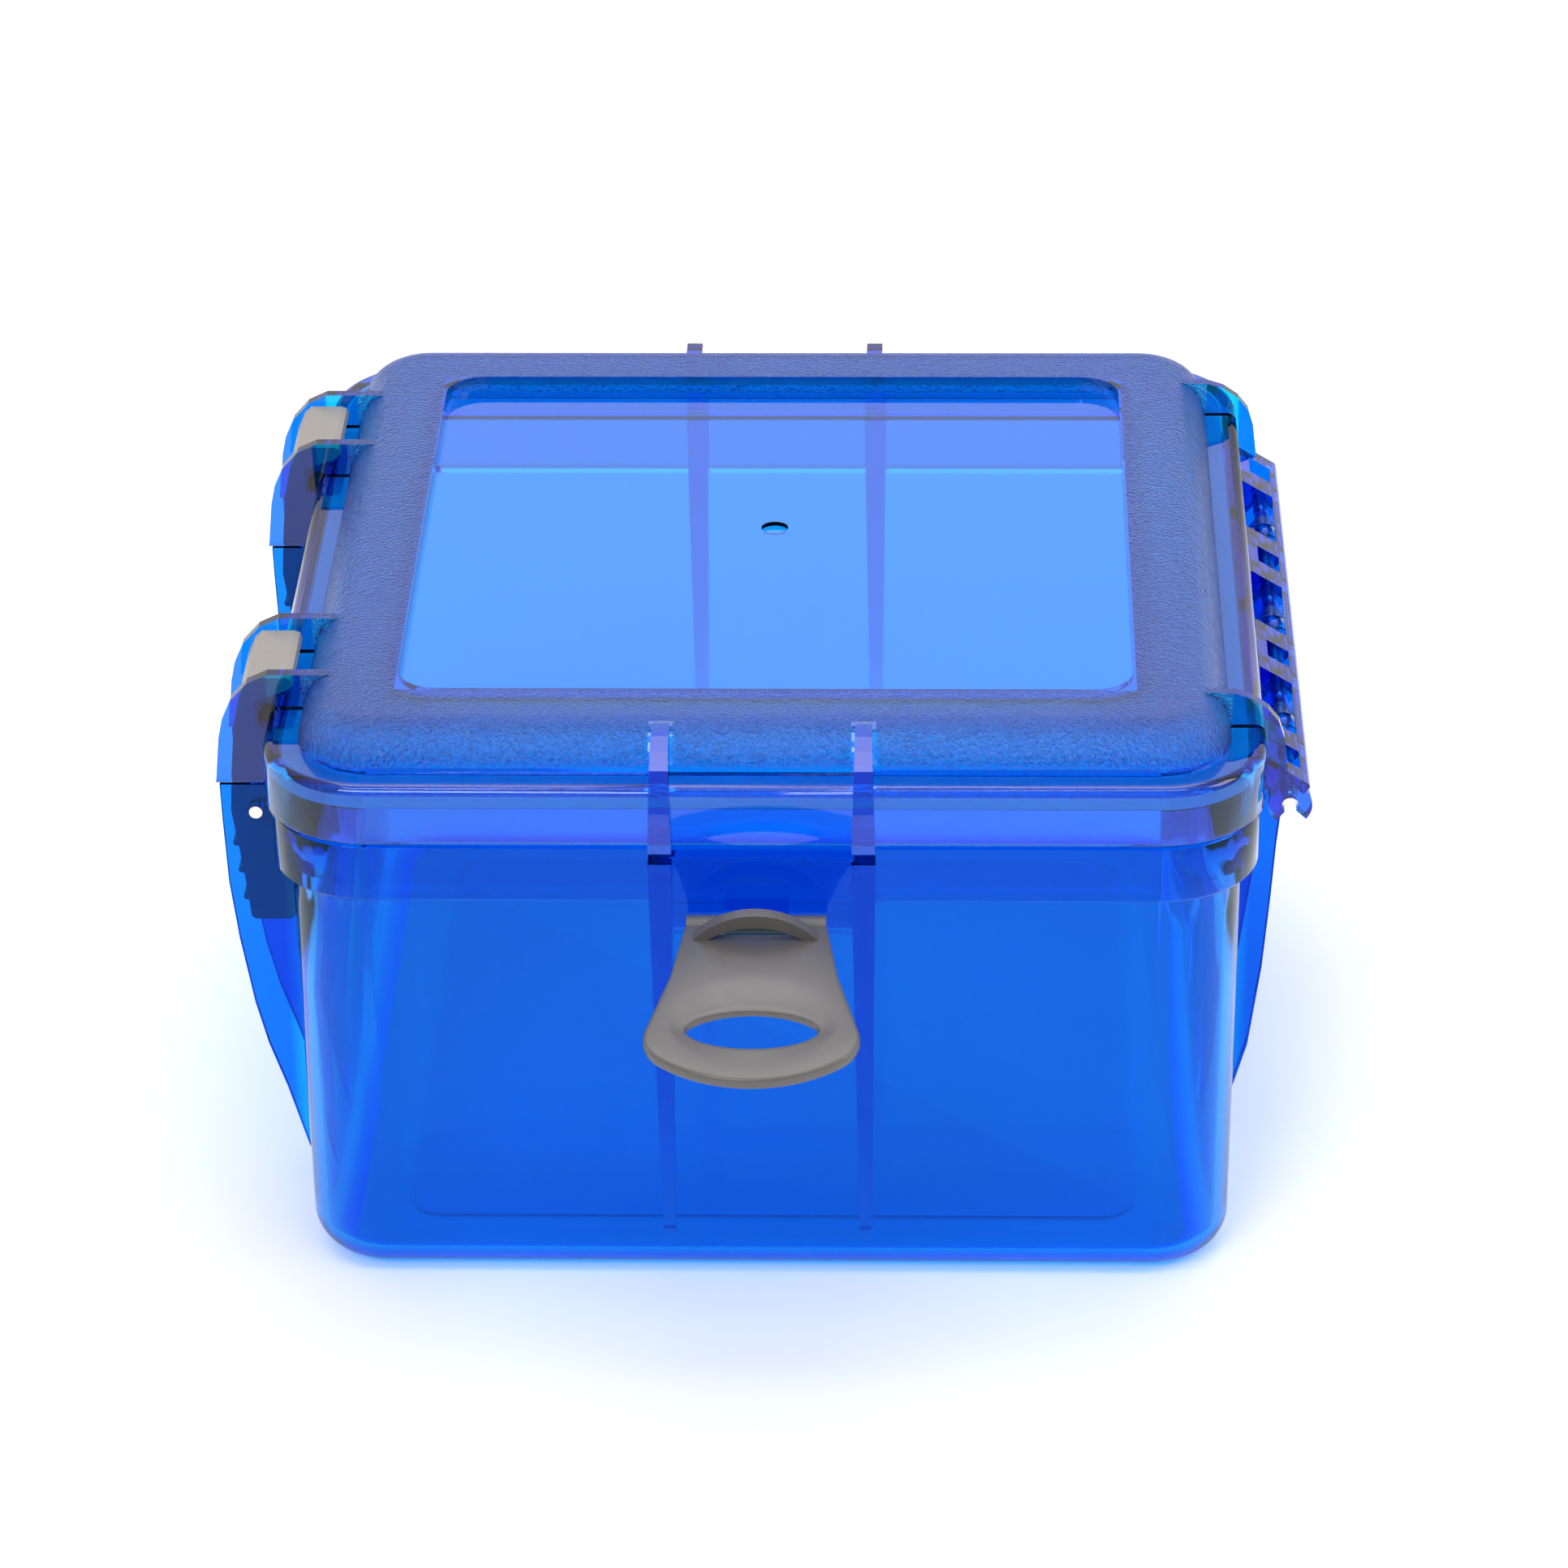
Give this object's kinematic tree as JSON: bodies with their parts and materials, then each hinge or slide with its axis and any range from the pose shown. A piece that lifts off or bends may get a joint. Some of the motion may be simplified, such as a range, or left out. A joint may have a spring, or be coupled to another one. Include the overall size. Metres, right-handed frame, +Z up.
{
  "type": "dry box",
  "caption": "Square transparent hinged box with a sealed clip-down lid, side latches and a pivoting finger tab.",
  "frame": {"origin": "centre of the tub's square footprint, on the base plane", "axes": "+Z up through the lid, -X towards the latches, +X towards the hinge, -Y towards the finger tab"},
  "size_m": [0.2101, 0.2455, 0.1195],
  "materials": {
    "tub_plastic": "transparent blue polycarbonate, glossy",
    "lid_plastic": "transparent blue polycarbonate, frosted frame and clear window",
    "pin_steel": "plain",
    "seal_rubber": "soft",
    "grey_plastic": "satin",
    "tab_plastic": "satin"
  },
  "bodies": {
    "tub": {"body_tub": "tub_plastic", "hinge_rod": "pin_steel", "latch_pin_front": "pin_steel", "latch_pin_rear": "pin_steel"},
    "lid": {"lid": "lid_plastic", "lid_seal": "seal_rubber"},
    "tab": {"finger_tab": "tab_plastic"},
    "link_front": {"latch_link_front": "grey_plastic"},
    "lever_front": {"latch_lever_front": "grey_plastic", "lever_pin_front": "grey_plastic"},
    "link_rear": {"latch_link_rear": "grey_plastic"},
    "lever_rear": {"latch_lever_rear": "grey_plastic", "lever_pin_rear": "grey_plastic"}
  },
  "joints": [
    {"name": "lid_hinge", "type": "hinge", "parent": "tub", "child": "lid", "pos_m": [0.1, 0, 0.0947], "axis": [0, 1, 0], "range_deg": [0, 105]},
    {"name": "tab_pivot", "type": "hinge", "parent": "tub", "child": "tab", "pos_m": [-0.001, -0.101, 0.0857], "axis": [1, 0, 0], "range_deg": [-45, 75]},
    {"name": "latch_front", "type": "hinge", "parent": "tub", "child": "link_front", "pos_m": [-0.0986, -0.051, 0.0892], "axis": [0, -1, 0], "range_deg": [0, 70]},
    {"name": "lever_front", "type": "hinge", "parent": "link_front", "child": "lever_front", "pos_m": [-0.0999, -0.051, 0.1001], "axis": [0, 1, 0], "range_deg": [0, 70]},
    {"name": "latch_rear", "type": "hinge", "parent": "tub", "child": "link_rear", "pos_m": [-0.0986, 0.051, 0.0892], "axis": [0, -1, 0], "range_deg": [0, 70]},
    {"name": "lever_rear", "type": "hinge", "parent": "link_rear", "child": "lever_rear", "pos_m": [-0.0999, 0.051, 0.1001], "axis": [0, 1, 0], "range_deg": [0, 70]}
  ],
  "couplings": [
    {"joint": "lever_front", "follows": "latch_front", "ratio": 1},
    {"joint": "lever_rear", "follows": "latch_rear", "ratio": 1}
  ]
}
